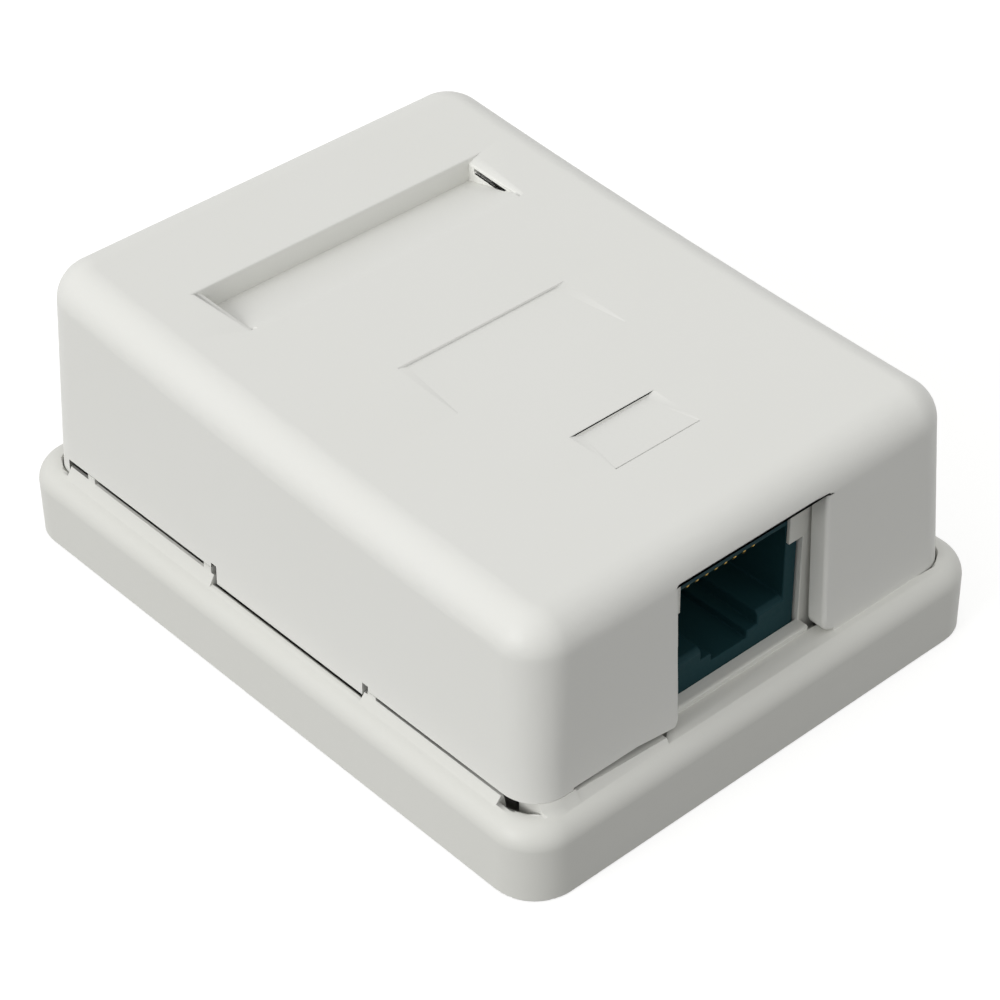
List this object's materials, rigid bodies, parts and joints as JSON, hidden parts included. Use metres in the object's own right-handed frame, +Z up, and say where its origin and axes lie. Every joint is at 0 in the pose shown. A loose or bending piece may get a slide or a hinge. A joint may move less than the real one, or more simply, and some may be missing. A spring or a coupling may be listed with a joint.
{
  "type": "surface mount jack box",
  "caption": "Low rectangular surface-mount box with a lift-off cover over a base tray, holding an 8P8C jack that faces out of the front; label recess in the sloping top.",
  "frame": {"origin": "centre of the base's underside", "axes": "+X to the right seen from the jack's side, +Y from the jack's side to the back, +Z up out of the cover's top"},
  "size_m": [0.05, 0.0644, 0.0268],
  "materials": {
    "base_plastic": "fine satin moulded ABS, warm off-white",
    "cover_plastic": "fine satin moulded ABS, warm off-white",
    "jack_plastic": "semi-gloss moulded polycarbonate, near black",
    "carrier_plastic": "semi-gloss moulded plastic, near black",
    "gold_contact": "gold-plated spring wire",
    "circuit_board": "green solder mask",
    "tower_plastic": "moulded polycarbonate, near black",
    "cap_plastic": "translucent white moulded plastic",
    "tinned_clip": "tin-plated bronze",
    "foam": "closed-cell foam",
    "liner_paper": "waxed release paper"
  },
  "bodies": {
    "base_unit": {"base": "base_plastic", "jack_housing": "jack_plastic", "contact_carrier": "carrier_plastic", "jack_board": "circuit_board", "foam_pad": "foam", "pad_liner": "liner_paper", "contact_wire_1": "gold_contact", "contact_wire_2": "gold_contact", "contact_wire_3": "gold_contact", "contact_wire_4": "gold_contact", "contact_wire_5": "gold_contact", "contact_wire_6": "gold_contact", "contact_wire_7": "gold_contact", "contact_wire_8": "gold_contact", "wire_tower_left": "tower_plastic", "wire_cap_left": "cap_plastic", "wire_clip_left_1": "tinned_clip", "wire_clip_left_2": "tinned_clip", "wire_clip_left_3": "tinned_clip", "wire_clip_left_4": "tinned_clip", "wire_tower_right": "tower_plastic", "wire_cap_right": "cap_plastic", "wire_clip_right_1": "tinned_clip", "wire_clip_right_2": "tinned_clip", "wire_clip_right_3": "tinned_clip", "wire_clip_right_4": "tinned_clip"},
    "cover_unit": {"cover": "cover_plastic"}
  },
  "joints": [
    {"name": "cover_lift", "type": "slide", "parent": "base_unit", "child": "cover_unit", "axis": [0, 0, 1], "range_m": [0, 0.03]}
  ]
}
